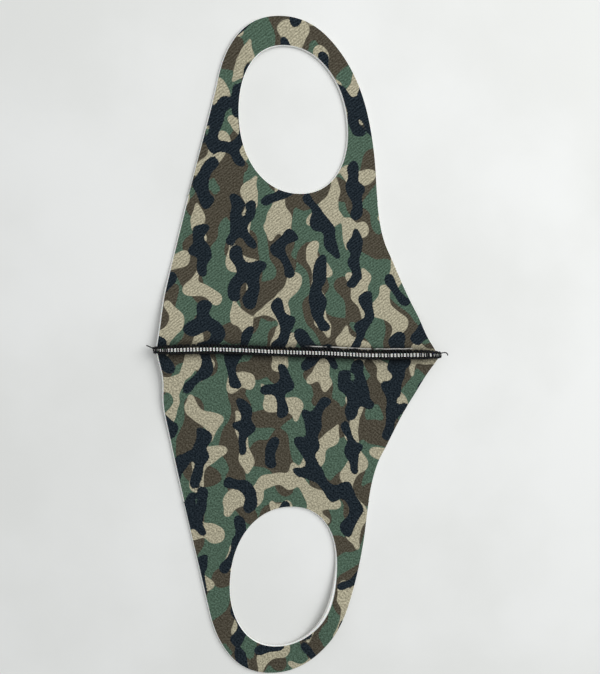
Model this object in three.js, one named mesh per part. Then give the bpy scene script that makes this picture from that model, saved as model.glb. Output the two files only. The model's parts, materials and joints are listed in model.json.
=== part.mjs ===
// Two-panel face mask with cut-out ear loops, laid open with the printed side up.
// Millimetres. X runs along the centre seam (nose end at +X, chin end at -X), the wearer's
// right panel lies towards +Y and the left one towards -Y, and +Z is up, off the printed side.
import * as THREE from 'three';

// ---- cloth: a knit face, a foam core and a knit lining, bonded with a thin line between ----
const LINING_THICKNESS = 0.35;
const CORE_THICKNESS = 0.70;
const FACE_THICKNESS = 0.35;
const BOND_LINE = 0.05;

// ---- pattern of one panel, seam along y = 0, ear-loop tip at the far end ----
const SEAM_HALF_LENGTH = 72.5;
const TIP_REACH = 160;          // from the seam to the far end of the ear loop
const PANEL_START = 1.55;       // where the panel leaves the seam allowance
const LOOP_ROOT = 74.2;         // line on which the ear loop bends off the cheek
const BEND_GAP = 0.4;           // room on that line for the bend
const HOLE_CENTRE = new THREE.Vector2(-5.6, 112);
const HOLE_HALF_WIDTH = 26;
const HOLE_HALF_LENGTH = 34.8;
const HOLE_LEAN = -3.3;         // the far end of the hole leans this much to the chin

// ---- how the laid mask lifts off the table: only the two ends of the seam do ----
const END_LIFT = 3.5;
const LIFT_STARTS = 25;         // distance along the seam from its middle
const LIFT_FADES_BY = 45;       // distance out from the seam

// ---- seam: the raw edges stand up together and are overlocked ----
const FIN_BOTTOM = 0.95;
const FIN_TOP = 4.75;
const FIN_HALF_LENGTH = 72;
const FIN_PLY_START = 0.05;
const FIN_CORE_THICKNESS = 0.35;   // the foam is squeezed by the stitches
const THREAD_RADIUS = 0.18;
const NEEDLE_LINE = 0.5;         // height of the needle stitches over the panel
const STITCH_LENGTH = 3.12;
const STITCH_COUNT = 45;
const TAIL_END = 75.5;         // the needle thread's cut ends stand past the cloth

const PANEL_THICKNESS = LINING_THICKNESS + CORE_THICKNESS + FACE_THICKNESS + 2 * BOND_LINE;
const FIN_HALF_THICKNESS = FIN_PLY_START + LINING_THICKNESS + FIN_CORE_THICKNESS + FACE_THICKNESS
  + 2 * BOND_LINE;

const point = (x, y) => new THREE.Vector2(x, y);
const bezier = (a, b, c, d) => new THREE.CubicBezierCurve(a, b, c, d);

// Panel edge from the nose end of the seam, round the ear loop, to the chin end.
const noseEdge = bezier(point(SEAM_HALF_LENGTH, 1.3), point(57, 17), point(49.6, 38), point(43.3, 50));
const neckEdge = bezier(point(43.3, 50), point(36.6, 62.5), point(36.6, 82), point(35.1, 94));
const noseSideOfTip = bezier(point(35.1, 94), point(29.2, 142), point(9.5, TIP_REACH), point(-11, TIP_REACH));
const chinSideOfTip = bezier(point(-11, TIP_REACH), point(-27, TIP_REACH), point(-38, 150), point(-43, 128));
const chinEdge = bezier(point(-43, 128), point(-51.6, 92), point(-64, 42), point(-SEAM_HALF_LENGTH, 1.3));

const smooth = (t) => {
  const c = THREE.MathUtils.clamp(t, 0, 1);
  return c * c * (3 - 2 * c);
};

// Height of the underside over the table.
function lift(x, y) {
  const along = smooth((Math.abs(x) - LIFT_STARTS) / (SEAM_HALF_LENGTH - LIFT_STARTS));
  const out = 1 - smooth((Math.abs(y) - PANEL_START) / (LIFT_FADES_BY - PANEL_START));
  return END_LIFT * along * out;
}

// x of an edge curve at height y; y runs one way along each of these curves.
function edgeX(curve, y) {
  let low = 0;
  let high = 1;
  const rising = curve.v3.y > curve.v0.y;
  for (let i = 0; i < 40; i += 1) {
    const mid = (low + high) / 2;
    const above = curve.getPoint(mid).y > y;
    if (above === rising) {
      high = mid;
    } else {
      low = mid;
    }
  }
  return curve.getPoint((low + high) / 2).x;
}
const chinX = (y) => edgeX(chinEdge, y);
const noseX = (y) => edgeX(y < noseEdge.v3.y ? noseEdge : neckEdge, y);

function meshFrom(points, index) {
  const geometry = new THREE.BufferGeometry();
  const positions = points.flatMap((p) => [p.x, p.y, p.z]);
  geometry.setAttribute('position', new THREE.Float32BufferAttribute(positions, 3));
  geometry.setIndex(index);
  return geometry;
}

// Turns a closed mesh's faces outwards, whichever way round its rings were given.
function facingOut(geometry) {
  const position = geometry.getAttribute('position');
  const index = geometry.getIndex();
  const corner = [new THREE.Vector3(), new THREE.Vector3(), new THREE.Vector3()];
  let volume = 0;
  for (let i = 0; i < index.count; i += 3) {
    corner.forEach((v, k) => v.fromBufferAttribute(position, index.getX(i + k)));
    volume += corner[0].dot(corner[1].clone().cross(corner[2]));
  }
  if (volume < 0) {
    for (let i = 0; i < index.count; i += 3) {
      const swap = index.getX(i + 1);
      index.setX(i + 1, index.getX(i + 2));
      index.setX(i + 2, swap);
    }
  }
  geometry.computeVertexNormals();
  return geometry;
}

// Closed rod from rings of points, each ring joined to the next and both ends capped.
function rod(rings) {
  const size = rings[0].length;
  const end = (rings.length - 1) * size;
  const index = [];
  for (let r = 0; r < end; r += size) {
    for (let k = 0; k < size; k += 1) {
      const k2 = (k + 1) % size;
      index.push(r + k, r + k2, r + size + k2);
      index.push(r + k, r + size + k2, r + size + k);
    }
  }
  for (let k = 1; k < size - 1; k += 1) {
    index.push(0, k + 1, k);
    index.push(end, end + k, end + k + 1);
  }
  return facingOut(meshFrom(rings.flat(), index));
}

// One ply over a net of (x, y) points, row by row: the net's triangles on top, the same ones
// underneath, and a wall along every edge that only one triangle has. `closed` joins the last
// row to the first.
function plyOver(rows, side, bottom, top, closed) {
  const size = rows[0].length;
  const net = rows.flat();
  const at = (z) => net.map((p) => new THREE.Vector3(p.x, side * p.y, lift(p.x, p.y) + z));
  const triangles = [];
  const last = closed ? rows.length : rows.length - 1;
  for (let r = 0; r < last; r += 1) {
    const here = r * size;
    const next = ((r + 1) % rows.length) * size;
    for (let k = 0; k < size - 1; k += 1) {
      triangles.push([here + k, here + k + 1, next + k + 1]);
      triangles.push([here + k, next + k + 1, next + k]);
    }
  }
  const edges = new Set();
  triangles.forEach((t) => t.forEach((from, k) => edges.add(`${from} ${t[(k + 1) % 3]}`)));
  const index = [];
  triangles.forEach((t) => {
    index.push(...t);
    index.push(...t.map((k) => k + net.length).reverse());
    t.forEach((from, k) => {
      const to = t[(k + 1) % 3];
      if (!edges.has(`${to} ${from}`)) {
        index.push(to, from, from + net.length);
        index.push(to, from + net.length, to + net.length);
      }
    });
  });
  return facingOut(meshFrom([...at(top), ...at(bottom)], index));
}

// ---- cheek: rows across the panel from the seam to the ear-loop root ----
function cheekNet() {
  const rowHeights = [PANEL_START, 6, 12, 18, 25, 32, 39, LIFT_FADES_BY, 60, LOOP_ROOT - BEND_GAP / 2];
  const columns = 16;
  return rowHeights.map((y) => {
    const from = chinX(y);
    const to = noseX(y);
    return Array.from({ length: columns + 1 }, (_, i) => point(from + ((to - from) * i) / columns, y));
  });
}

// ---- ear loop: spokes from the hole out to the panel edge and to the ear-loop root ----
function holePoint(outer) {
  const v = (outer.y - HOLE_CENTRE.y) / HOLE_HALF_LENGTH;
  const u = (outer.x - HOLE_CENTRE.x - HOLE_LEAN * v) / HOLE_HALF_WIDTH;
  const angle = Math.atan2(v, u);
  const x = HOLE_CENTRE.x + HOLE_HALF_WIDTH * Math.cos(angle) + HOLE_LEAN * Math.sin(angle);
  const y = HOLE_CENTRE.y + HOLE_HALF_LENGTH * Math.sin(angle);
  return point(x, y);
}

function earLoopNet() {
  const root = LOOP_ROOT + BEND_GAP / 2;
  const noseCorner = point(noseX(root), root);
  const chinCorner = point(chinX(root), root);
  const outer = [noseCorner];
  outer.push(point(noseX(84), 84));
  outer.push(...noseSideOfTip.getSpacedPoints(11));
  outer.push(...chinSideOfTip.getSpacedPoints(7).slice(1));
  outer.push(point(chinX(115), 115), point(chinX(101), 101), point(chinX(87), 87));
  const acrossRoot = 10;
  for (let i = 0; i < acrossRoot; i += 1) {
    outer.push(chinCorner.clone().lerp(noseCorner, i / acrossRoot));
  }
  return outer.map((p) => [holePoint(p), p]);
}

// ---- seam allowance: one ply standing on edge along the seam ----
function finPly(side, inner, outer) {
  const stations = 24;
  const rings = Array.from({ length: stations + 1 }, (_, i) => {
    const x = FIN_HALF_LENGTH * ((2 * i) / stations - 1);
    const z = lift(x, 0);
    const at = (y, h) => new THREE.Vector3(x, side * y, z + h);
    return [at(inner, FIN_BOTTOM), at(outer, FIN_BOTTOM), at(outer, FIN_TOP), at(inner, FIN_TOP)];
  });
  return rod(rings);
}

// ---- thread: a square rod along a bent line, mitred at every bend ----
function thread(path) {
  const forward = path.slice(1).map((p, i) => p.clone().sub(path[i]).normalize());
  const across = new THREE.Vector3(0, 1, 0).cross(forward[0]).normalize();
  const up = forward[0].clone().cross(across);
  let ring = [0, 1, 2, 3].map((k) => {
    const a = (k * Math.PI) / 2;
    const offset = across.clone().multiplyScalar(Math.cos(a)).addScaledVector(up, Math.sin(a));
    return path[0].clone().addScaledVector(offset, THREAD_RADIUS);
  });
  const rings = [ring];
  forward.forEach((direction, i) => {
    const end = path[i + 1];
    const cut = (forward[i + 1] ?? direction).clone().add(direction).normalize();
    ring = ring.map((p) => {
      const travel = end.clone().sub(p).dot(cut) / direction.dot(cut);
      return p.clone().addScaledVector(direction, travel);
    });
    rings.push(ring);
  });
  return rod(rings);
}

// Straight line of needle stitches low on the right flank, with a short tail at each end.
function needleThreadPath() {
  const y = FIN_HALF_THICKNESS + BOND_LINE + THREAD_RADIUS;
  const stations = 24;
  const along = Array.from({ length: stations + 1 }, (_, i) => {
    const x = FIN_HALF_LENGTH * ((2 * i) / stations - 1);
    return new THREE.Vector3(x, y, lift(x, 0) + PANEL_THICKNESS + NEEDLE_LINE);
  });
  const tail = (end) => new THREE.Vector3(end * TAIL_END, y, lift(TAIL_END, 0) + PANEL_THICKNESS);
  return [tail(-1), ...along, tail(1)];
}

// Looper thread: a short run along the foot of the fin, then up over its raw edge and back down,
// once a stitch. `at` is how far through the stitch each bend comes.
function looperPath(side, phase) {
  const foot = { y: FIN_HALF_THICKNESS + 1.2, z: PANEL_THICKNESS + 0.4 };
  const shoulder = { y: FIN_HALF_THICKNESS + 0.35, z: FIN_TOP + THREAD_RADIUS };
  const crest = { y: 0.38, z: FIN_TOP + 0.58 };
  const stitch = [
    { at: 0, ...foot },
    { at: 0.25, ...foot },
    { at: 0.45, ...shoulder },
    { at: 0.625, ...crest },
    { at: 0.8, ...shoulder },
  ];
  const start = (-STITCH_LENGTH * STITCH_COUNT) / 2 + phase;
  return Array.from({ length: stitch.length * STITCH_COUNT }, (_, i) => {
    const bend = stitch[i % stitch.length];
    const x = start + STITCH_LENGTH * (Math.floor(i / stitch.length) + bend.at);
    return new THREE.Vector3(x, side * bend.y, lift(x, 0) + bend.z);
  });
}

const slots = {
  face: { color: 0x6f7562, roughness: 0.85, metalness: 0 },
  core: { color: 0xe6e6e0, roughness: 0.9, metalness: 0 },
  lining: { color: 0xe0dfd8, roughness: 0.85, metalness: 0 },
  thread: { color: 0x101216, roughness: 0.6, metalness: 0 },
};

const mask = new THREE.Group();
mask.name = 'camo_face_mask';

function add(name, geometry, slot) {
  const mesh = new THREE.Mesh(geometry, new THREE.MeshStandardMaterial(slots[slot]));
  mesh.name = name;
  mask.add(mesh);
}

// Stacks plies from the lining up, with a bond line between: where each starts and ends.
function stack(start, coreThickness) {
  const thickness = { lining: LINING_THICKNESS, core: coreThickness, face: FACE_THICKNESS };
  const levels = {};
  let level = start;
  Object.entries(thickness).forEach(([ply, thick]) => {
    levels[ply] = [level, level + thick];
    level += thick + BOND_LINE;
  });
  return levels;
}

const panelPlies = stack(0, CORE_THICKNESS);
const finPlies = stack(FIN_PLY_START, FIN_CORE_THICKNESS);

[['right', 1], ['left', -1]].forEach(([name, side]) => {
  Object.keys(panelPlies).forEach((ply) => {
    const [bottom, top] = panelPlies[ply];
    add(`${name}_seam_allowance_${ply}`, finPly(side, ...finPlies[ply]), ply);
    add(`${name}_cheek_${ply}`, plyOver(cheekNet(), side, bottom, top, false), ply);
    add(`${name}_ear_loop_${ply}`, plyOver(earLoopNet(), side, bottom, top, true), ply);
  });
});

add('needle_thread', thread(needleThreadPath()), 'thread');
add('upper_looper_thread', thread(looperPath(1, 0)), 'thread');
add('lower_looper_thread', thread(looperPath(-1, STITCH_LENGTH / 2)), 'thread');

export default mask;
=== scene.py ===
import json
import math

import bpy
import numpy as np
from mathutils import Matrix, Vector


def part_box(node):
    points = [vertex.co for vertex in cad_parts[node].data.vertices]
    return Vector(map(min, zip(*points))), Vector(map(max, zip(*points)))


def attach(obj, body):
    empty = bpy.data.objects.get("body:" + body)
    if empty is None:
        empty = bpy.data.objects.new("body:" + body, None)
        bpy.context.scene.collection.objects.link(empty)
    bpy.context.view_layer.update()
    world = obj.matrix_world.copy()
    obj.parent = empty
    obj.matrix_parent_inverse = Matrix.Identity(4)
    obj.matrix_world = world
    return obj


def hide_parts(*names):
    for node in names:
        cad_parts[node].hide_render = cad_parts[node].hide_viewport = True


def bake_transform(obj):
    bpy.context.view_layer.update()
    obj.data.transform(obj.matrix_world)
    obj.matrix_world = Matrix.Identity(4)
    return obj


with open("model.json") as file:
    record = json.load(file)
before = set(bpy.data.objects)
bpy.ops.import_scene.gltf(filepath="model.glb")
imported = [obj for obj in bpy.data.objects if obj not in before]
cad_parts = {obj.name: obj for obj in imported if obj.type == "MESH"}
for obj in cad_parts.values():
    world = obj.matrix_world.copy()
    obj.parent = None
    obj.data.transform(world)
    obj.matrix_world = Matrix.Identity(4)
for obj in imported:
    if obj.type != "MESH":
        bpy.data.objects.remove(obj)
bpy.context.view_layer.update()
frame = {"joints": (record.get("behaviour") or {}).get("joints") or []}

# A knit face mask laid open: two mirrored panels of three bonded plies, joined by an overlocked
# seam that stands up along X. Lengths are in millimetres here and become metres in the meshes.
MM = 0.001
SIDES = {"right": 1, "left": -1}
PLIES = ("lining", "core", "face")
JOINTS = {joint["name"]: joint for joint in frame["joints"]}


def box_mm(node):
    """Lowest and highest corner of a CAD node, in millimetres."""
    low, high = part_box(node)
    return np.array(low) / MM, np.array(high) / MM


# ---- sizes that the frame gives ----
PANEL_LEVELS = np.array([box_mm(f"right_ear_loop_{ply}")[end][2] for ply in PLIES for end in (0, 1)])
FIN_LEVELS = np.array([box_mm(f"right_seam_allowance_{ply}")[end][1] for ply in PLIES for end in (0, 1)])
PANEL_THICKNESS = PANEL_LEVELS[-1]
FIN_HALF = FIN_LEVELS[-1]
SEAM_HALF = box_mm("right_cheek_core")[1][0]
TIP_REACH = box_mm("right_ear_loop_core")[1][1]
LOOP_ROOT = JOINTS["right_loop_bend"]["pos_m"][1] / MM
TAIL_END = box_mm("needle_thread")[1][0]

# ---- pattern of one panel ----
HOLE_CENTRE = (-5.6, 112.0)
HOLE_HALF = (26.0, 34.8)
HOLE_LEAN = -3.3                 # the far end of the hole leans this much to the chin
HOLE_SQUARE = 2.15               # 2 would be an ellipse
EDGE_TRIM = (0.0, 0.35, 1.0)     # lining, core and face: share of the slant that each ply is cut back
EDGE_SLANT = 0.22                # how far the printed ply stops short of the lining at a cut edge
CHIN_SLANT = 0.35                # and how much more at the edges that face the chin
NOSE_EDGE = ((SEAM_HALF, 1.3), (57, 17), (49.6, 38), (43.3, 50))
NECK_EDGE = ((43.3, 50), (36.6, 62.5), (36.6, 82), (35.1, 94))
NOSE_SIDE_OF_TIP = ((35.1, 94), (29.2, 142), (9.5, TIP_REACH), (-11, TIP_REACH))
CHIN_SIDE_OF_TIP = ((-11, TIP_REACH), (-27, TIP_REACH), (-38, 150), (-42.6, 128))
CHIN_EDGE = ((-42.6, 128), (-51.2, 92), (-63.4, 42), (0.5 - SEAM_HALF, 1.3))
CHIN_CORNER = 2.0                # the panels' corners stop this much short of the seam's ends
NOSE_CORNER = {"right": 3.2, "left": 1.8}
FIN_ENDS = (-71.4, 70.6)

# ---- how the mask lies ----
END_LIFT = 3.5
LIFT_STARTS = 25.0
LIFT_FADES_BY = 45.0
FIN_TOP = 4.75
TURN_RADIUS = 0.6                # inside radius of the printed side where it turns up the seam

# ---- overlock ----
STITCH = 3.12
THREAD_RADIUS = 0.42
CLIMB = 0.09                     # half of the part of a stitch that a looper thread's climb takes
CLIMB_ADVANCE = 0.015            # and half of what it moves along the seam meanwhile


def smooth(t):
    """0 below 0, 1 above 1, and the cubic 3t^2 - 2t^3 between."""
    t = np.clip(t, 0, 1)
    return t * t * (3 - 2 * t)


def bezier(handles, count):
    """Points on a cubic Bezier curve: its four handles weighed by the Bernstein polynomials."""
    a, b, c, d = np.array(handles, float)
    t = np.linspace(0, 1, count)[:, None]
    return (1 - t) ** 3 * a + 3 * (1 - t) ** 2 * t * b + 3 * (1 - t) * t * t * c + t ** 3 * d


CHIN_LINE = bezier(CHIN_EDGE, 200)[::-1]
NOSE_LINE = np.concatenate([bezier(NOSE_EDGE, 120), bezier(NECK_EDGE, 80)[1:]])


def chin_x(y):
    return np.interp(y, CHIN_LINE[:, 1], CHIN_LINE[:, 0])


def nose_x(y):
    return np.interp(y, NOSE_LINE[:, 1], NOSE_LINE[:, 0])


# ------------------------------------------------------------------ how the cloth lies
def keel(x, y):
    """Lift of the seam's two ends: rises along the seam past LIFT_STARTS, fades out from it."""
    along = smooth((np.abs(x) - LIFT_STARTS) / (SEAM_HALF - LIFT_STARTS))
    return END_LIFT * along * (1 - smooth((np.abs(y) - 1.5) / (LIFT_FADES_BY - 1.5)))


def rest_height(x, y, side):
    """Height of the underside over the table: the keel, a low ridge beside the seam, slow waves in
    the panels, and the rims of the ear loops that stand off the table."""
    waves = 0.16 * (1 + np.sin(x / 17 + side * 0.9) * np.sin(y / 21 + side)) * smooth((y - 2.0) / 14)
    if side > 0:
        reach = smooth((x + 2) / 14) * (1 - smooth((x - 50) / 14))
        ridge = (0.35 + 1.05 * reach) * np.exp(-((y - 4.0) / 1.15) ** 2)
        rim = 1.6 * np.exp(-((x + 24) / 12) ** 2 - ((y - 143) / 9) ** 2)
    else:
        ridge = 0.7 * np.exp(-((y - 6.0) / 2.2) ** 2) * (1 - smooth((np.abs(x) - 48) / 14))
        rim = 4.3 * np.exp(-((x - 19) / 17) ** 2 - ((y - 132) / 21) ** 2)
    return keel(x, y) + waves + ridge + rim


def bow(x, y):
    """Sideways wander of the seam, one long bend each way, which fades out into the panels."""
    shape = 1.1 * np.exp(-((x + 42) / 26) ** 2) - 0.75 * np.exp(-((x - 36) / 17) ** 2)
    return shape * (1 - smooth(y / 32))


def sway(y, side):
    """Sideways lean of an ear loop's tip: each one is pulled a little to its own side."""
    return -0.9 * side * smooth((y - 118) / 38)


def stretch(y, side):
    """Pull of an ear loop away from the seam, in two smooth steps, more on the left one."""
    return 0.9 * smooth((y - 145) / 15) + (1.0 * smooth((y - 118) / 30) if side < 0 else 0)


def pinch(x, y, z):
    """The seam's two ends, drawn small by their stitches: y shrinks and the height over the panel
    drops, both towards the ends and near the seam only."""
    share = smooth((np.abs(x) - 60) / 11) * (1 - smooth((np.abs(y) - 1.5) / 3.5))
    return y * (1 - 0.36 * share), z - 0.42 * share * np.maximum(z - PANEL_THICKNESS, 0)


def place(x, flat_y, y, z, side):
    """Points in metres of a panel point: x, its distance from the seam in the cut cloth, which sets
    the height, its own distance from the seam, and its height over the underside."""
    height = rest_height(x, flat_y, side)
    y, z = pinch(x, y, z)
    y = y + stretch(flat_y, side)
    points = np.stack([x + sway(flat_y, side), side * y + bow(x, flat_y), z + height], -1)
    return points * MM


# ------------------------------------------------------------------ meshes
def mesh_object(name, points, faces):
    """A mesh object from points in metres and a list of face index arrays, smooth where its faces
    meet at less than 45 degrees, with its faces turned to point out."""
    quads = np.concatenate([f for f in faces if f.shape[1] == 4])
    a, b, c, d = (points[quads[:, k]] for k in range(4))
    volume = np.einsum("ij,ij->i", a, np.cross(b, c)) + np.einsum("ij,ij->i", a, np.cross(c, d))
    turned = volume.sum() < 0
    polygons = [p for f in faces for p in (f[:, ::-1] if turned else f).tolist()]
    mesh = bpy.data.meshes.new(name)
    mesh.from_pydata(points.tolist(), [], polygons)
    mesh.shade_smooth()
    mesh.set_sharp_from_angle(angle=math.radians(45))
    piece = bpy.data.objects.new(name, mesh)
    bpy.context.scene.collection.objects.link(piece)
    return piece


def grid_faces(rows, columns, wrap=False):
    """Quads of a rows by columns net of vertex numbers; wrap joins the last column to the first."""
    index = np.arange(rows * columns).reshape(rows, columns)
    if wrap:
        index = np.concatenate([index, index[:, :1]], 1)
    return np.stack([index[:-1, :-1], index[:-1, 1:], index[1:, 1:], index[1:, :-1]], -1).reshape(-1, 4)


def strip_faces(first, second, closed=True):
    """Quads between two equally long rows of vertex numbers."""
    if closed:
        first = np.append(first, first[0])
        second = np.append(second, second[0])
    return np.stack([first[:-1], first[1:], second[1:], second[:-1]], -1)


def ply_shell(name, under, over, wrap, butt, pattern):
    """A closed sheet between two nets of points, rows by columns: the nets are its two faces, and
    its cut edge bulges out half way up by a third of its thickness, except where butt is true."""
    rows, columns = under.shape[:2]
    count = rows * columns
    index = np.arange(count).reshape(rows, columns)
    if wrap:
        rims = [(index[0], index[1]), (index[-1][::-1], index[-2][::-1])]
    else:
        edge = [index[0, :-1], index[:-1, -1], index[-1, :0:-1], index[:0:-1, 0]]
        inner = [index[1, :-1], index[:-1, -2], index[-2, :0:-1], index[:0:-1, 1]]
        rims = [(np.concatenate(edge), np.concatenate(inner))]
    points = [over.reshape(-1, 3), under.reshape(-1, 3)]
    faces = [grid_faces(rows, columns, wrap), grid_faces(rows, columns, wrap)[:, ::-1] + count]
    uv = [pattern.reshape(-1, 2)] * 2
    start = 2 * count
    flat = butt.reshape(-1)
    for edge, inner in rims:
        top = points[0][edge]
        bottom = points[1][edge]
        out = top - points[0][inner]
        out /= np.linalg.norm(out, axis=1)[:, None]
        thick = np.linalg.norm(top - bottom, axis=1)[:, None]
        middle = (top + bottom) / 2 + out * thick * np.where(flat[edge], 0, 0.3)[:, None]
        points.append(middle)
        uv.append(uv[0][edge])
        waist = np.arange(start, start + len(edge))
        faces.append(strip_faces(waist, edge))
        faces.append(strip_faces(edge + count, waist))
        start += len(edge)
    piece = mesh_object(name, np.concatenate(points), faces)
    uv = np.concatenate(uv)
    corner = np.zeros(len(piece.data.loops), int)
    piece.data.loops.foreach_get("vertex_index", corner)
    layer = piece.data.uv_layers.new(name="cut_cloth")
    layer.uv.foreach_set("vector", uv[corner].astype(np.float32).ravel())
    outer = np.zeros(len(uv), np.float32)
    outer[:count] = 1
    piece.data.attributes.new("outer", "FLOAT", "POINT").data.foreach_set("value", outer)
    return piece, uv


# ------------------------------------------------------------------ camouflage print
# Each motif is a list of limbs, and each limb a run of (across, along, radius) in millimetres.
NAVY_MOTIFS = (
    [[(2.4, 15, 4.2), (-0.6, 8, 2.9), (-2.0, 0.5, 5.0), (1.6, -6.5, 2.8), (3.6, -14, 4.6)],
     [(-2, 0.5, 3.2), (-8.2, -4.5, 3.6)]],
    [[(-5.6, 13, 4.2), (-2, 6, 3.2), (1.6, 3, 4.8), (3.6, -4, 2.8), (3.8, -12.5, 4.6)],
     [(-1, 3, 3.0), (-5, -3, 2.8), (-5, -9.5, 3.8)], [(2, 4, 3.2), (7, 10.5, 3.6)]],
    [[(-5.0, 9, 4.4), (-1, 3.6, 2.9), (2.8, -1.5, 4.4), (0, -8, 2.8), (-2.4, -13, 4.2)]],
    [[(-2.2, -12, 4.6), (0.4, -5, 2.9), (-1, 2, 4.6), (1.6, 9, 2.8), (0.6, 15.5, 4.0)],
     [(-1, 2, 3.2), (6, 0, 3.6)]],
    [[(2, 17, 3.8), (-1, 10.5, 2.8), (1, 3.5, 4.4), (-2, -3, 2.8), (0.4, -10.5, 4.6), (-1, -17, 3.2)]],
    [[(-6.5, 3.4, 4.8), (-0.4, 0, 3.4), (6, 4.0, 4.8)], [(0.2, 0, 3.2), (2, -10.5, 4.6)],
     [(-6.5, 4, 3.0), (-6.0, 12, 3.6)]],
    [[(-3, -4.6, 4.2), (0.2, 0.2, 3.0), (2.6, 5.6, 4.4)]],
)
SAND_MOTIFS = (
    [[(0, 1, 6.0), (0.6, 9, 3.0), (2.0, 17, 2.0)], [(0, 0, 4.2), (-5.6, -5, 3.4), (-5.2, -12, 2.0)],
     [(0, 0, 3), (4.4, -8.5, 4.0)]],
    [[(-5.6, -2.5, 5.4), (0, 1.4, 4.0), (5.4, 3.4, 5.4)], [(5, 5, 3.4), (5.4, 14, 2.0)],
     [(-5.6, -2, 3.2), (-4.6, -12, 2.6)]],
    [[(1.2, -9, 5.2), (-1, -1, 3.4), (0.6, 6, 5.4)], [(0, 6, 3.2), (-4.6, 14, 2.0)],
     [(0, 6, 2.8), (5.6, 11.0, 3.2)]],
    [[(-7, 1, 5.0), (-0.6, -1.2, 3.8), (6.4, 1, 5.2)], [(6.6, 0, 3.2), (6.0, -11, 2.0)]],
    [[(1.6, 15, 2.0), (-0.6, 7, 3.8), (1, -1, 2.8), (-1, -8, 4.6), (1, -16, 2.0)]],
)
BROWN_MOTIFS = (
    [[(-4, -9, 5.2), (1.5, -1, 6.0), (-1, 10, 5.2)], [(2, 0, 4.6), (8.5, 5, 4.2)]],
    [[(1, -13, 4.4), (-2, -4, 5.8), (2.5, 6, 4.4), (1, 13, 5.2)],
     [(-2, -2, 4.2), (-9, -5, 4.0), (-9.5, -11, 3.2)]],
    [[(-5.5, 6, 5.3), (1, 1, 4.6), (5, -9, 5.4)]],
    [[(0, 14, 3.6), (-2.5, 6, 4.8), (1.4, -2, 3.8), (-1, -12, 4.4)]],
)
# Each ink: its motifs, the pitch of their lattice across and along, their jitter as a share of it,
# their mean size, how soft their outlines are, the share of the cloth they cover, and a seed.
INKS = {
    "brown_ink": (BROWN_MOTIFS, (19.5, 30), 0.16, 0.89, 1.0, 0.54, 31),
    "sand_ink": (SAND_MOTIFS, (18.8, 30), 0.16, 0.85, 0.9, 0.33, 12),
    "navy_ink": (NAVY_MOTIFS, (19.0, 32.5), 0.14, 0.86, 1.1, 0.305, 13),
}
PRINT_STEP = 0.6
PRINT_X = np.arange(-84, 84.01, PRINT_STEP)
PRINT_Y = np.arange(-171, 171.01, PRINT_STEP)


def wander(p, seed):
    """Slow wander of the print: two sums of five sines with seeded directions and phases."""
    rng = np.random.default_rng(seed)
    wave = rng.normal(size=(2, 5, 2)) / 8.0
    phase = rng.uniform(0, 2 * np.pi, (2, 5))
    return 0.8 * np.stack([np.sin(p @ wave[k].T + phase[k]).sum(1) for k in (0, 1)], -1)


def limb_gaps(p, limb):
    """Distances from points to each length of a limb: a capsule whose radius eases from the one
    end's to the other's."""
    for (x0, y0, r0), (x1, y1, r1) in zip(limb[:-1], limb[1:]):
        start = np.array([x0, y0])
        run = np.array([x1, y1]) - start
        t = np.clip((p - start) @ run / (run @ run), 0, 1)
        yield np.linalg.norm(p - start - t[:, None] * run, axis=1) - (r0 + smooth(t) * (r1 - r0))


def soft_outline(field, spread):
    """A field blurred by a Gaussian of the given spread in millimetres, along and across."""
    reach = int(3 * spread / PRINT_STEP)
    weights = np.exp(-(np.arange(-reach, reach + 1) * PRINT_STEP / spread) ** 2 / 2)
    weights /= weights.sum()
    for _ in (0, 1):
        padded = np.pad(field, ((0, 0), (reach, reach)), mode="edge")
        field = np.stack([np.convolve(line, weights, "valid") for line in padded]).T
    return field


def ink_lattice(motifs, pitch, jitter, size, spread, cover, seed):
    """Signed distance of one ink's shapes on a lattice over the whole cloth, below 0 inside them.
    One motif stands in each cell of a brick lattice, turned and scaled at random. All limbs join by
    a smooth union, -log(sum exp(-distance)), and the level is set so that the ink covers its share."""
    rng = np.random.default_rng(seed)
    reach = 6.0
    p = np.stack(np.meshgrid(PRINT_X, PRINT_Y), -1).reshape(-1, 2)
    p = p + wander(p, seed + 1)
    total = np.full(len(p), math.exp(-reach))
    columns = int(200 / pitch[0]) + 1
    rows = int(380 / pitch[1]) + 1
    deck = []
    for row in range(rows):
        for column in range(columns):
            across = (column - columns / 2) * pitch[0]
            along = (row - rows / 2 + 0.5 * (column % 2)) * pitch[1]
            centre = np.array([across, along]) + rng.uniform(-jitter, jitter, 2) * pitch
            turn = rng.normal(0, 0.26)
            scale = size * rng.uniform(0.9, 1.12)
            flip = rng.choice([-1, 1], 2)
            deck = deck or list(rng.permutation(len(motifs)))
            c, s = math.cos(turn), math.sin(turn)
            near = np.nonzero(np.abs(p - centre).max(1) < 29)[0]
            local = (p[near] - centre) @ np.array([[c, -s], [s, c]]) * flip / scale
            for limb in motifs[deck.pop()]:
                for gap in limb_gaps(local, limb):
                    total[near] += np.exp(-np.clip(gap * scale, -9, reach))
    field = soft_outline(-np.log(total).reshape(len(PRINT_Y), len(PRINT_X)), spread)
    return field - np.quantile(field, cover)


def sample(lattice, p):
    """Value of a lattice at points, by bilinear interpolation."""
    column = np.clip((p[:, 0] - PRINT_X[0]) / PRINT_STEP, 0, len(PRINT_X) - 1.001)
    row = np.clip((p[:, 1] - PRINT_Y[0]) / PRINT_STEP, 0, len(PRINT_Y) - 1.001)
    i, j = row.astype(int), column.astype(int)
    v, u = row - i, column - j
    near = lattice[i, j] * (1 - u) + lattice[i, j + 1] * u
    far = lattice[i + 1, j] * (1 - u) + lattice[i + 1, j + 1] * u
    return near * (1 - v) + far * v


INK_LATTICES = {ink: ink_lattice(*layout) for ink, layout in INKS.items()}


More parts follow.
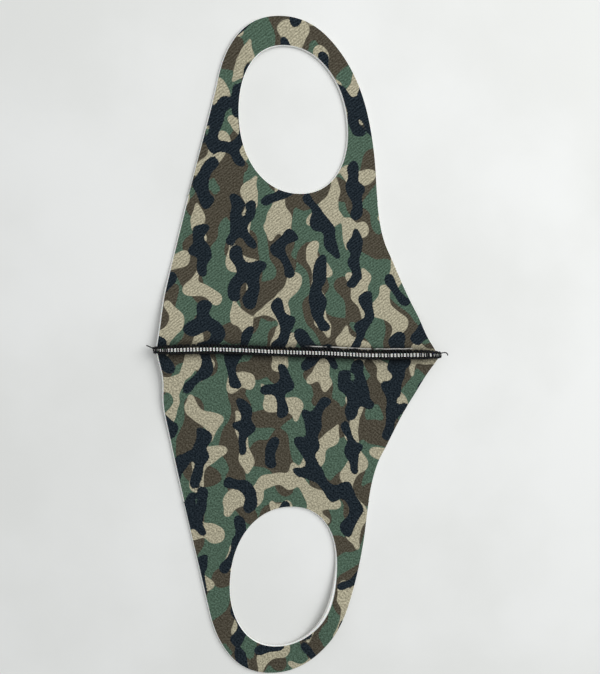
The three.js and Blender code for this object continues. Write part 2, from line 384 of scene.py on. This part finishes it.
def print_cloth(piece, uv, side):
    """Stores the three inks' fields on a printed ply; the fourth colour is the ground."""
    for ink, lattice in INK_LATTICES.items():
        field = sample(lattice, uv * np.array([1, side])).astype(np.float32)
        piece.data.attributes.new(ink, "FLOAT", "POINT").data.foreach_set("value", field)


# ------------------------------------------------------------------ cloth pieces
def cheek_profile():
    """Section of a panel across the seam, from the raw edge on top of the seam allowance, down it,
    round a quarter ellipse and out along the panel. Gives, row by row, the distance along the cut
    cloth, the distance from the seam that sets the outline, and each ply surface's y and z."""
    centre_y = FIN_HALF + TURN_RADIUS
    centre_z = PANEL_THICKNESS + TURN_RADIUS
    stand = np.linspace(FIN_TOP, centre_z, 7)[:-1]
    turn = np.linspace(0, math.pi / 2, 9)
    out = np.linspace(centre_y, LOOP_ROOT, 92)[1:]
    y = np.concatenate([
        np.repeat(FIN_LEVELS[None], len(stand), 0),
        centre_y - (centre_y - FIN_LEVELS[None]) * np.cos(turn)[:, None],
        np.repeat(out[:, None], 6, 1)])
    z = np.concatenate([
        np.repeat(stand[:, None], 6, 1),
        centre_z - (centre_z - PANEL_LEVELS[None]) * np.sin(turn)[:, None],
        np.repeat(PANEL_LEVELS[None], len(out), 0)])
    middle = np.stack([y[:, 2:4].mean(1), z[:, 2:4].mean(1)], -1)
    step = np.linalg.norm(np.diff(middle, axis=0), axis=1)
    along = np.concatenate([[0], np.cumsum(step)])
    along += LOOP_ROOT - along[-1]
    return along, y, z


def finish_ply(piece, uv, name, ply):
    """Gives a ply its finish: the print on the face ply, and the ply's material."""
    if ply == "face":
        print_cloth(piece, uv, SIDES[name])
    piece.data.materials.append(MATERIALS[ply if ply != "face" else f"{name}_face"])


def cheek(name, ply):
    """One ply of a cheek with its seam allowance, cut along a straight net from chin to nose."""
    side = SIDES[name]
    level = 2 * PLIES.index(ply)
    along, y, z = cheek_profile()
    trim = EDGE_TRIM[level // 2]
    outline_y = np.maximum(y[:, level:level + 2].mean(1), 1.3)
    low = chin_x(outline_y) + CHIN_CORNER * (1 - smooth((outline_y - 1.3) / 30))
    low = low + (1.4 * np.exp(-((outline_y - 14) / 9) ** 2) if side < 0 else 0)
    high = nose_x(outline_y) - NOSE_CORNER[name] * (1 - smooth((outline_y - 1.3) / 20))
    on_fin = smooth((z[:, 2] - 1.2) / 1.0)
    rounded = 2.4 * smooth((z[:, 2] - 2.8) / 2.2)
    low = low + (FIN_ENDS[0] - low) * on_fin + rounded + (EDGE_SLANT + CHIN_SLANT) * trim
    high = high + (FIN_ENDS[1] - high) * on_fin - rounded - EDGE_SLANT * trim
    if ply == "face":
        z[0] -= 0.3
    share = np.linspace(0, 1, 181)[None]
    x = low[:, None] + (high - low)[:, None] * share
    flat_y = np.repeat(np.maximum(y[:, level], 0)[:, None], x.shape[1], 1)
    surfaces = []
    for k in (level, level + 1):
        surfaces.append(place(x, flat_y, np.repeat(y[:, k:k + 1], x.shape[1], 1), z[:, k:k + 1], side))
    net = np.stack([x, np.repeat(along[:, None], x.shape[1], 1)], -1)
    butt = np.zeros(x.shape, bool)
    butt[-1] = True
    piece, uv = ply_shell(f"{name}_cheek_{ply}_cloth", surfaces[0], surfaces[1], False, butt, net)
    finish_ply(piece, uv, name, ply)
    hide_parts(f"{name}_cheek_{ply}", f"{name}_seam_allowance_{ply}")
    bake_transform(piece)
    return piece


def loop_outline():
    """Closed outline of an ear loop: evenly spaced points from the nose end of its root round the
    tip to the chin end, then back along the root. Also says which points lie on the root."""
    rim = np.concatenate([
        bezier(NECK_EDGE, 60), bezier(NOSE_SIDE_OF_TIP, 200)[1:],
        bezier(CHIN_SIDE_OF_TIP, 120)[1:], bezier(CHIN_EDGE, 120)[1:]])
    rim = rim[rim[:, 1] > LOOP_ROOT]
    ends = [[nose_x(LOOP_ROOT), LOOP_ROOT]], [[chin_x(LOOP_ROOT), LOOP_ROOT]]
    rim = np.concatenate([ends[0], rim, ends[1]])
    run = np.concatenate([[0], np.cumsum(np.linalg.norm(np.diff(rim, axis=0), axis=1))])
    at = np.linspace(0, run[-1], 232)
    rim = np.stack([np.interp(at, run, rim[:, k]) for k in (0, 1)], -1)
    root = np.linspace(rim[-1], rim[0], 104)[1:-1]
    on_root = np.concatenate([np.zeros(len(rim), bool), np.ones(len(root), bool)])
    on_root[[0, len(rim) - 1]] = True
    return np.concatenate([rim, root]), on_root


def hole_opposite(outer):
    """Point on the ear hole at the same angle as a point of the outline. The hole is a sheared
    superellipse of exponent HOLE_SQUARE, a little wider at the end near the seam."""
    v = (outer[:, 1] - HOLE_CENTRE[1]) / HOLE_HALF[1]
    u = (outer[:, 0] - HOLE_CENTRE[0] - HOLE_LEAN * v) / HOLE_HALF[0]
    angle = np.arctan2(v, u)
    reach = np.abs(np.cos(angle)) ** HOLE_SQUARE + np.abs(np.sin(angle)) ** HOLE_SQUARE
    reach = reach ** (-1 / HOLE_SQUARE)
    u = reach * np.cos(angle)
    v = reach * np.sin(angle)
    x = HOLE_CENTRE[0] + HOLE_HALF[0] * u * (1 - 0.03 * v) + HOLE_LEAN * v
    return np.stack([x, HOLE_CENTRE[1] + HOLE_HALF[1] * v], -1)


def ear_loop(name, ply):
    """One ply of an ear loop: spokes from the hole out to the outline."""
    side = SIDES[name]
    level = 2 * PLIES.index(ply)
    outer, on_root = loop_outline()
    inner = hole_opposite(outer)
    spoke = outer - inner
    width = np.linalg.norm(spoke, axis=1)
    lean = spoke[:, 0] / width
    raised = 1.1 * np.exp(-((inner[:, 0] - 17) / 12) ** 2 - ((inner[:, 1] - 128) / 17) ** 2) * (side < 0)
    at_hole = EDGE_TRIM[level // 2] * (EDGE_SLANT + CHIN_SLANT * np.maximum(lean, 0) + raised) / width
    at_rim = EDGE_TRIM[level // 2] * (EDGE_SLANT + CHIN_SLANT * np.maximum(-lean, 0)) / width
    at_rim[on_root] = 0
    share = np.linspace(0, 1, 27)[:, None]
    share = at_hole + (1 - at_hole - at_rim) * share
    net = inner[None] + (outer - inner)[None] * share[..., None]
    x, y = net[..., 0], net[..., 1]
    surfaces = [place(x, y, y, PANEL_LEVELS[k], side) for k in (level, level + 1)]
    butt = np.zeros(x.shape, bool)
    butt[-1] = on_root
    piece, uv = ply_shell(f"{name}_ear_loop_{ply}_cloth", surfaces[0], surfaces[1], True, butt, net)
    finish_ply(piece, uv, name, ply)
    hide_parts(f"{name}_ear_loop_{ply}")
    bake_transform(piece)
    return piece


# ------------------------------------------------------------------ overlock threads
def soften(path, width=5):
    """Rounds a path's corners: each inner point becomes the mean of its neighbours."""
    kernel = np.ones(width) / width
    half = width // 2
    padded = np.concatenate([np.repeat(path[:1], half, 0), path, np.repeat(path[-1:], half, 0)])
    return np.stack([np.convolve(padded[:, k], kernel, "valid") for k in range(path.shape[1])], -1)


def thread(name, path, away, radius):
    """A two-strand thread along a path: a section with two lobes, r = radius (0.86 + 0.14 cos 2a),
    that turns once each 1.1 mm, carried along with one axis held to the direction away."""
    sides = 8
    tangent = np.gradient(path, axis=0)
    tangent /= np.linalg.norm(tangent, axis=1)[:, None]
    normal = away - (away * tangent).sum(1)[:, None] * tangent
    normal /= np.linalg.norm(normal, axis=1)[:, None]
    across = np.cross(tangent, normal)
    run = np.concatenate([[0], np.cumsum(np.linalg.norm(np.diff(path, axis=0), axis=1))])
    angle = np.arange(sides) * 2 * np.pi / sides
    twist = 2 * np.pi * run / 1.1
    ends = np.minimum(1, np.minimum(run, run[-1] - run) / THREAD_RADIUS + 0.25)
    r = (radius * ends)[:, None] * (0.86 + 0.14 * np.cos(2 * (angle[None] - twist[:, None] / 2)))
    ring = normal[:, None] * np.cos(angle)[None, :, None] + across[:, None] * np.sin(angle)[None, :, None]
    points = (path[:, None] + ring * r[..., None]).reshape(-1, 3)
    last = (len(path) - 1) * sides
    caps = [np.arange(sides)[::-1][None], np.arange(last, last + sides)[None]]
    piece = mesh_object(name, points * MM, [grid_faces(len(path), sides, wrap=True), *caps])
    uv = np.stack([np.repeat(run, sides), np.tile(angle, len(path))], -1)
    corner = np.zeros(len(piece.data.loops), int)
    piece.data.loops.foreach_get("vertex_index", corner)
    layer = piece.data.uv_layers.new(name="along_thread")
    layer.uv.foreach_set("vector", uv[corner].astype(np.float32).ravel())
    piece.data.materials.append(MATERIALS["thread"])
    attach(piece, "seam")
    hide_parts(name.replace("_yarn", ""))
    return piece


# Line that a looper thread follows round the seam allowance, from its foot on one side to the
# shoulder on the other: y and height.
LOOPER_WRAP = np.array([
    (2.05, 2.05), (1.86, 2.5), (1.74, 3.1), (1.68, 3.9), (1.6, 4.45), (1.22, 4.92),
    (0.5, 5.07), (-0.5, 5.07), (-1.22, 4.92), (-1.6, 4.45)])
LOOPER_WRAP_RUN = np.concatenate([[0], np.cumsum(np.linalg.norm(np.diff(LOOPER_WRAP, axis=0), axis=1))])
LOOPER_WRAP_RUN /= LOOPER_WRAP_RUN[-1]


def stitch_x(stitches):
    """Where along the seam a given number of stitches reaches: the stitches crowd at both ends."""
    x = np.linspace(FIN_ENDS[0] + 0.3, FIN_ENDS[1] - 0.3, 3000)
    pitch = STITCH * (1 - 0.42 * smooth((x - 57) / 7) - 0.42 * smooth((-x - 60) / 7))
    reached = np.concatenate([[0], np.cumsum(np.diff(x) / pitch[1:])])
    return np.interp(stitches, reached, x), reached[-1]


def looper(name, side, far, phase, linger, seed):
    """A looper thread: once a stitch it climbs the seam allowance, crosses its raw edge as far as
    the share far of the wrap, runs along and comes back. Its climb is a trapezium wave of x, which
    stays up longer as linger rises; x all but stops while it crosses. It is bulkier on the flanks
    than where it is drawn tight."""
    rng = np.random.default_rng(seed)
    per_stitch = 84
    count = int(stitch_x(0)[1])
    t = np.arange(count * per_stitch + 1) / per_stitch
    wave = np.clip((np.abs((t + phase) % 1 - 0.5) * -4 + 1 + linger) / (4 * CLIMB), -1, 1)
    knots = np.arange(len(t) // 22 + 2)
    jitter = rng.normal(0, 1, (2, len(knots)))
    slack, drift = (np.interp(np.arange(len(t)) / 22, knots, line) for line in jitter)
    turn = np.array([0.5 - (1 + linger) / 4, 0.5 + (1 + linger) / 4])
    when, where = (np.concatenate([[0], np.stack([turn - half, turn + half], 1).ravel(), [1]])
                   for half in (CLIMB, CLIMB_ADVANCE))
    ahead = np.floor(t + phase) + np.interp((t + phase) % 1, when, where) - phase
    x, _ = stitch_x(ahead)
    loose = 1 + 1.2 * smooth((np.abs(x) - 56) / 10)
    climb = np.clip(far * (0.5 + 0.5 * wave) * (1 + 0.03 * slack * loose), 0, 1)
    x = x + 0.12 * drift * loose + 0.42 * side * (climb - 0.5)
    y = np.interp(climb, LOOPER_WRAP_RUN, LOOPER_WRAP[:, 0])
    z = np.interp(climb, LOOPER_WRAP_RUN, LOOPER_WRAP[:, 1])
    path = soften(np.stack([x, side * y, z], -1), 5)
    away = path * np.array([0, 1, 1]) - np.array([0, 0, 3.2])
    bulk = THREAD_RADIUS * (0.86 + 0.34 * smooth((4.95 - path[:, 2]) / 0.45))
    path[:, 1], path[:, 2] = pinch(*path.T)
    path[:, 1] += bow(path[:, 0], 0)
    path[:, 2] += keel(path[:, 0], 0)
    return thread(name, path, away, bulk)


def needle_thread():
    """The needle thread: a straight run on the right flank from one hole to the next, then through
    the cloth to a short loop on the left flank and back, with a loose tail past each end."""
    per_stitch = 30
    count = int(stitch_x(0)[1])
    t = np.arange(count * per_stitch + 1) / per_stitch
    share = t % 1
    through = np.interp(share, [0, 0.62, 0.78, 0.86, 1], [1, 1, -1, -1, 1])
    ahead = np.interp(share, [0, 0.62, 0.78, 0.86, 1], [0, 1, 1.0, 1.16, 1])
    x, _ = stitch_x(np.floor(t) + ahead)
    path = np.stack([x, through * (FIN_HALF + 0.24), np.full(len(t), 2.95)], -1)
    path = soften(path, 3)
    path[:, 1], path[:, 2] = pinch(*path.T)
    path[:, 1] += bow(path[:, 0], 0)
    path[:, 2] += keel(path[:, 0], 0)
    tails = []
    for end, first in ((-1, path[0]), (1, path[-1])):
        s = np.linspace(0, 1, 24)[:, None]
        tip = np.array([end * (TAIL_END - 1.4), first[1] - 1.2 * end, first[2] - 1.6])
        bend = np.array([end * (TAIL_END - 2.2), first[1] + 1.2, first[2] + 0.6])
        tails.append((1 - s) ** 2 * first + 2 * s * (1 - s) * bend + s ** 2 * tip)
    path = np.concatenate([tails[0][:0:-1], path, tails[1][1:]])
    away = np.repeat([[0.0, 0.15, 1.0]], len(path), 0)
    return thread("needle_thread_yarn", path, away, np.full(len(path), 0.33))


# ------------------------------------------------------------------ materials
def new_material(name):
    """A material with its Principled BSDF, and the material's nodes and links."""
    material = bpy.data.materials.new(name)
    material.use_nodes = True
    return material, material.node_tree, material.node_tree.nodes["Principled BSDF"]


def add_node(tree, kind, label="", **settings):
    node = tree.nodes.new(kind)
    node.label = label
    for key, value in settings.items():
        setattr(node, key, value)
    return node


def math_node(tree, operation, first, second=None, third=None):
    """A Math node; each input is a number or an output socket. Returns its output."""
    node = add_node(tree, "ShaderNodeMath", operation=operation)
    for socket, value in zip(node.inputs, (first, second, third)):
        if value is None:
            continue
        if isinstance(value, (int, float)):
            socket.default_value = value
        else:
            tree.links.new(value, socket)
    return node.outputs[0]


def mix_colour(tree, factor, a, b):
    """Mix of two colours, each an output socket or a colour. Returns its output."""
    node = add_node(tree, "ShaderNodeMix", data_type="RGBA")
    for socket, value in zip((node.inputs[0], node.inputs[6], node.inputs[7]), (factor, a, b)):
        if isinstance(value, (tuple, int, float)):
            socket.default_value = value
        else:
            tree.links.new(value, socket)
    return node.outputs[2]


def map_range(tree, value, low, high, to_low=0.0, to_high=1.0):
    node = add_node(tree, "ShaderNodeMapRange", interpolation_type="SMOOTHSTEP")
    tree.links.new(value, node.inputs["Value"])
    for key, number in (("From Min", low), ("From Max", high), ("To Min", to_low), ("To Max", to_high)):
        node.inputs[key].default_value = number
    return node.outputs["Result"]


def attribute(tree, name):
    return add_node(tree, "ShaderNodeAttribute", attribute_name=name).outputs["Fac"]


def srgb(red, green, blue):
    """A colour given as 0 to 255 display values, in the linear values that sockets take."""
    c = np.array([red, green, blue]) / 255
    linear = np.where(c <= 0.04045, c / 12.92, ((c + 0.055) / 1.055) ** 2.4)
    return (*[float(v) for v in linear], 1.0)


def knit_group():
    """Knit cloth in a piece's own millimetres: diagonal ribs, a lattice of small loops and fibre
    grain. Height is for a Bump node, and Shade is light on the loops and dark between them."""
    group = bpy.data.node_groups.new("knit_surface", "ShaderNodeTree")
    group.interface.new_socket("Cloth", in_out="INPUT", socket_type="NodeSocketVector")
    for name in ("Rib Pitch", "Rib Depth", "Loop Pitch", "Loop Depth", "Grain"):
        group.interface.new_socket(name, in_out="INPUT", socket_type="NodeSocketFloat")
    group.interface.new_socket("Height", in_out="OUTPUT", socket_type="NodeSocketFloat")
    group.interface.new_socket("Shade", in_out="OUTPUT", socket_type="NodeSocketFloat")
    given = add_node(group, "NodeGroupInput")
    made = add_node(group, "NodeGroupOutput")

    drift = add_node(group, "ShaderNodeTexNoise", "yarn drift")
    drift.inputs["Scale"].default_value = 0.22
    drift.inputs["Detail"].default_value = 3
    group.links.new(given.outputs["Cloth"], drift.inputs["Vector"])
    apart = add_node(group, "ShaderNodeSeparateXYZ")
    group.links.new(given.outputs["Cloth"], apart.inputs[0])
    across, along = apart.outputs[0], apart.outputs[1]

    slope = math_node(group, "MULTIPLY", across, -0.62)
    ribs = math_node(group, "MULTIPLY_ADD", along, 0.78, slope)
    ribs = math_node(group, "DIVIDE", ribs, given.outputs["Rib Pitch"])
    ribs = math_node(group, "MULTIPLY_ADD", drift.outputs["Fac"], 1.4, ribs)
    ribs = math_node(group, "SINE", math_node(group, "MULTIPLY", ribs, 2 * math.pi))
    wear = add_node(group, "ShaderNodeTexNoise", "where the ribs are worn flat")
    wear.inputs["Scale"].default_value = 0.38
    wear.inputs["Detail"].default_value = 3
    group.links.new(given.outputs["Cloth"], wear.inputs["Vector"])
    ribs = math_node(group, "MULTIPLY", ribs, map_range(group, wear.outputs["Fac"], 0.36, 0.62, 0.3, 1.3))

    wale = math_node(group, "DIVIDE", across, given.outputs["Loop Pitch"])
    wale = math_node(group, "MULTIPLY_ADD", drift.outputs["Fac"], 0.8, wale)
    course = math_node(group, "DIVIDE", along, given.outputs["Loop Pitch"])
    lean = math_node(group, "SINE", math_node(group, "MULTIPLY", wale, math.pi))
    lean = math_node(group, "ABSOLUTE", lean)
    course = math_node(group, "MULTIPLY_ADD", lean, 0.55, math_node(group, "MULTIPLY", course, 1.3))
    course = math_node(group, "SINE", math_node(group, "MULTIPLY", course, 2 * math.pi))
    loops = math_node(group, "MULTIPLY", lean, math_node(group, "MULTIPLY_ADD", course, 0.35, 0.65))

    grain = add_node(group, "ShaderNodeTexNoise", "fibre grain")
    grain.inputs["Scale"].default_value = 1.25
    grain.inputs["Detail"].default_value = 4
    grain.inputs["Roughness"].default_value = 0.7
    group.links.new(given.outputs["Cloth"], grain.inputs["Vector"])
    fibre = math_node(group, "SUBTRACT", grain.outputs["Fac"], 0.5)

    height = math_node(group, "MULTIPLY", ribs, given.outputs["Rib Depth"])
    height = math_node(group, "MULTIPLY_ADD", loops, given.outputs["Loop Depth"], height)
    height = math_node(group, "MULTIPLY_ADD", fibre, given.outputs["Grain"], height)
    group.links.new(height, made.inputs["Height"])
    group.links.new(height, made.inputs["Shade"])
    return group


def knit_node(tree, group, **values):
    """The knit group, reading the cut-cloth map, with its values set."""
    cloth = add_node(tree, "ShaderNodeUVMap", uv_map="cut_cloth")
    node = add_node(tree, "ShaderNodeGroup", node_tree=group)
    tree.links.new(cloth.outputs[0], node.inputs["Cloth"])
    for key, value in values.items():
        node.inputs[key.replace("_", " ")].default_value = value
    return node


def add_bump(tree, shader, height, distance):
    bump = add_node(tree, "ShaderNodeBump")
    bump.inputs["Distance"].default_value = distance
    tree.links.new(height, bump.inputs["Height"])
    tree.links.new(bump.outputs[0], shader.inputs["Normal"])


def seam_painted_light(tree, cloth, painted_highlight, fold_shade):
    """Painted light beside the seam, by distance from it in the cut cloth: painted shade darkens the
    fold, and a broken white line of painted highlight runs along part of it. Returns the colour and that
    distance."""
    apart = add_node(tree, "ShaderNodeSeparateXYZ")
    patches = add_node(tree, "ShaderNodeTexNoise", "uneven painted shade and highlight beside the seam")
    patches.inputs["Scale"].default_value = 0.16
    for socket in (apart.inputs[0], patches.inputs["Vector"]):
        tree.links.new(add_node(tree, "ShaderNodeUVMap", uv_map="cut_cloth").outputs[0], socket)
    from_seam = math_node(tree, "MULTIPLY_ADD", patches.outputs["Fac"], 2.4, apart.outputs[1])
    # Painted shade: the fold beside the seam is darkened towards black, by up to fold_shade.
    fold = map_range(tree, from_seam, 2.6, 8.0, fold_shade, 0)
    cloth = mix_colour(tree, fold, cloth, (0.002, 0.002, 0.003, 1))
    # Painted highlight: a broken white line along the crest of the low ridge beside the seam.
    gap = math_node(tree, "MULTIPLY_ADD", patches.outputs["Fac"], 0.8, apart.outputs[1])
    gap = math_node(tree, "SUBTRACT", gap, 3.4)
    line = map_range(tree, math_node(tree, "ABSOLUTE", gap), 0.1, 0.38, painted_highlight, 0)
    for limit in (map_range(tree, apart.outputs[0], 2, 9),
                  map_range(tree, apart.outputs[0], 50, 62, 1, 0),
                  map_range(tree, patches.outputs["Fac"], 0.40, 0.50)):
        line = math_node(tree, "MULTIPLY", line, limit)
    return mix_colour(tree, line, cloth, srgb(240, 238, 232)), apart.outputs[1]


def printed_knit(name, group, rib_pitch, rib_depth, grain, painted_highlight, fold_shade):
    """Printed face knit. The four inks lie over each other: green ground, brown, sand, and navy on
    top. White yarn shows at the cut edge, except along the seam's raw edge, which keeps the print,
    darkened by painted shade. The last two arguments set a painted highlight line and painted shade
    beside the seam."""
    material, tree, shader = new_material(name)
    knit = knit_node(tree, group, Rib_Pitch=rib_pitch, Rib_Depth=rib_depth, Loop_Pitch=0.62,
                     Loop_Depth=0.25, Grain=grain)
    bleed = math_node(tree, "MULTIPLY", knit.outputs["Shade"], 0.22)
    colour = srgb(88, 115, 95)
    for ink, ink_colour in (("brown_ink", srgb(87, 79, 62)), ("sand_ink", srgb(205, 197, 168)),
                            ("navy_ink", srgb(3, 25, 37))):
        edge = math_node(tree, "ADD", attribute(tree, ink), bleed)
        colour = mix_colour(tree, map_range(tree, edge, -0.12, 0.12, 1, 0), colour, ink_colour)
    # Shade mixes the fibre grain's random tone with painted shade in the knit's hollows and a painted
    # sheen on its ribs and loops.
    shade = map_range(tree, knit.outputs["Shade"], -0.3, 0.65, 0.0, 1.0)
    pale = mix_colour(tree, 0.055, colour, srgb(178, 188, 194))
    dark = mix_colour(tree, 0.62, colour, (0, 0, 0, 1))
    cloth = mix_colour(tree, shade, dark, pale)
    cloth, from_edge = seam_painted_light(tree, cloth, painted_highlight, fold_shade)
    cut = map_range(tree, attribute(tree, "outer"), 0.55, 0.95)
    cut = math_node(tree, "MAXIMUM", cut, map_range(tree, from_edge, -1.2, -0.8, 1, 0))
    tree.links.new(mix_colour(tree, cut, srgb(250, 250, 247), cloth), shader.inputs["Base Color"])
    roughness = map_range(tree, knit.outputs["Shade"], -0.5, 0.8, 0.88, 0.68)
    tree.links.new(roughness, shader.inputs["Roughness"])
    shader.inputs["Specular IOR Level"].default_value = 0.08
    shader.inputs["Sheen Weight"].default_value = 0.03
    shader.inputs["Sheen Roughness"].default_value = 0.5
    add_bump(tree, shader, knit.outputs["Height"], 0.00012)
    return material


def lining_knit(group):
    """Off-white lining, a fine plain knit."""
    material, tree, shader = new_material("off_white_lining")
    knit = knit_node(tree, group, Rib_Pitch=2.4, Rib_Depth=0.06, Loop_Pitch=0.55,
                     Loop_Depth=0.7, Grain=0.5)
    shade = map_range(tree, knit.outputs["Shade"], -0.2, 0.9)
    colour = mix_colour(tree, shade, srgb(222, 220, 213), srgb(243, 242, 237))
    tree.links.new(colour, shader.inputs["Base Color"])
    shader.inputs["Roughness"].default_value = 0.85
    shader.inputs["Sheen Weight"].default_value = 0.1
    add_bump(tree, shader, knit.outputs["Height"], 0.00012)
    return material


def white_foam():
    """Soft white foam, seen at the cut edges: fine open cells."""
    material, tree, shader = new_material("white_foam_core")
    apart = add_node(tree, "ShaderNodeSeparateXYZ")
    tree.links.new(add_node(tree, "ShaderNodeUVMap", uv_map="cut_cloth").outputs[0], apart.inputs[0])
    joined = add_node(tree, "ShaderNodeCombineXYZ")
    for end, start in zip(joined.inputs, apart.outputs[:2]):
        tree.links.new(start, end)
    tree.links.new(math_node(tree, "MULTIPLY", attribute(tree, "outer"), 0.7), joined.inputs[2])
    cells = add_node(tree, "ShaderNodeTexVoronoi", "foam cells")
    cells.inputs["Scale"].default_value = 4.2
    tree.links.new(joined.outputs[0], cells.inputs["Vector"])
    # Painted shade: the hollows of the foam's open cells are a little darker.
    depth = map_range(tree, cells.outputs["Distance"], 0.1, 0.7)
    colour = mix_colour(tree, depth, srgb(240, 240, 237), srgb(254, 254, 252))
    tree.links.new(colour, shader.inputs["Base Color"])
    shader.inputs["Roughness"].default_value = 0.92
    shader.inputs["Subsurface Weight"].default_value = 0.1
    shader.inputs["Subsurface Scale"].default_value = 0.001
    add_bump(tree, shader, depth, 0.0001)
    return material


def black_thread():
    """Bulked black sewing thread: fine fibres along its turn."""
    material, tree, shader = new_material("black_thread")
    run = add_node(tree, "ShaderNodeUVMap", uv_map="along_thread")
    fibres = add_node(tree, "ShaderNodeTexNoise", "fibres")
    fibres.inputs["Scale"].default_value = 5.5
    fibres.inputs["Detail"].default_value = 3
    tree.links.new(run.outputs[0], fibres.inputs["Vector"])
    shade = map_range(tree, fibres.outputs["Fac"], 0.3, 0.75)
    tree.links.new(mix_colour(tree, shade, srgb(3, 3, 5), srgb(15, 16, 19)), shader.inputs["Base Color"])
    roughness = map_range(tree, fibres.outputs["Fac"], 0.3, 0.7, 0.68, 0.5)
    tree.links.new(roughness, shader.inputs["Roughness"])
    shader.inputs["Specular IOR Level"].default_value = 0.18
    shader.inputs["Sheen Weight"].default_value = 0.03
    add_bump(tree, shader, fibres.outputs["Fac"], 0.00008)
    return material


def table_top():
    """Pale plastered table with faint cloudy marks."""
    material, tree, shader = new_material("pale_table")
    place_node = add_node(tree, "ShaderNodeTexCoord")
    clouds = add_node(tree, "ShaderNodeTexNoise", "clouds")
    clouds.inputs["Scale"].default_value = 9
    clouds.inputs["Detail"].default_value = 6
    tree.links.new(place_node.outputs["Object"], clouds.inputs["Vector"])
    shade = map_range(tree, clouds.outputs["Fac"], 0.35, 0.65)
    colour = mix_colour(tree, shade, srgb(222, 223, 220), srgb(230, 231, 229))
    tree.links.new(colour, shader.inputs["Base Color"])
    shader.inputs["Roughness"].default_value = 0.7
    return material


# ------------------------------------------------------------------ camera, light and floor
def add_camera():
    """Camera over the panels' middle, a little to the chin side, square to the middle of the seam."""
    distance = 480 * MM
    data = bpy.data.cameras.new("camera")
    camera = bpy.data.objects.new("camera", data)
    bpy.context.scene.collection.objects.link(camera)
    camera.location = (-60 * MM, 37.7 * MM, distance)
    back = np.array(camera.location)
    back /= np.linalg.norm(back)
    roll = -0.0238
    right = np.cross([math.sin(roll), math.cos(roll), 0], back)
    right /= np.linalg.norm(right)
    up = np.cross(back, right)
    turn = np.stack([right, up, back], 1)
    camera.matrix_world = Matrix([[*turn[k], camera.location[k]] for k in range(3)] + [[0, 0, 0, 1]])
    data.lens = 52.64
    data.shift_x = 0.0017
    data.shift_y = 0.0222
    data.clip_start = 0.01
    bpy.context.scene.camera = camera


def add_light(name, place_at, size, power):
    data = bpy.data.lights.new(name, "AREA")
    data.size = size
    data.energy = power
    light = bpy.data.objects.new(name, data)
    bpy.context.scene.collection.objects.link(light)
    light.location = place_at
    aim = -light.location
    light.rotation_euler = aim.to_track_quat("-Z", "Y").to_euler()


def add_stage():
    """Pale floor under the mask, a large soft light from the nose side and an even pale sky."""
    mesh = bpy.data.meshes.new("table")
    half = 3.0
    low = -0.05 * MM
    corners = [(-half, -half, low), (half, -half, low), (half, half, low), (-half, half, low)]
    mesh.from_pydata(corners, [], [(0, 1, 2, 3)])
    table = bpy.data.objects.new("table", mesh)
    bpy.context.scene.collection.objects.link(table)
    mesh.materials.append(table_top())
    add_light("window_light", (0.62, 0.40, 0.85), 0.85, 9.1)
    world = bpy.data.worlds.new("sky")
    world.use_nodes = True
    world.node_tree.nodes["Background"].inputs[0].default_value = (0.97, 0.985, 1.0, 1)
    world.node_tree.nodes["Background"].inputs[1].default_value = 0.57
    bpy.context.scene.world = world
    bpy.context.scene.view_settings.view_transform = "Standard"


KNIT = knit_group()
MATERIALS = {
    # The last two numbers of each printed knit: the painted highlight line and the painted shade beside
    # the seam.
    "right_face": printed_knit("printed_knit_right", KNIT, 1.27, 0.17, 2.4, 0.9, 0.5),
    "left_face": printed_knit("printed_knit_left", KNIT, 1.5, 0.07, 3.0, 0.0, 0.62),
    "core": white_foam(),
    "lining": lining_knit(KNIT),
    "thread": black_thread(),
}
for panel in SIDES:
    for ply in PLIES:
        cheek(panel, ply)
        ear_loop(panel, ply)
looper("upper_looper_thread_yarn", 1, 1.0, 0.0, 0.0, 3)
looper("lower_looper_thread_yarn", -1, 0.29, 0.5, 0.55, 5)
needle_thread()
add_stage()
add_camera()
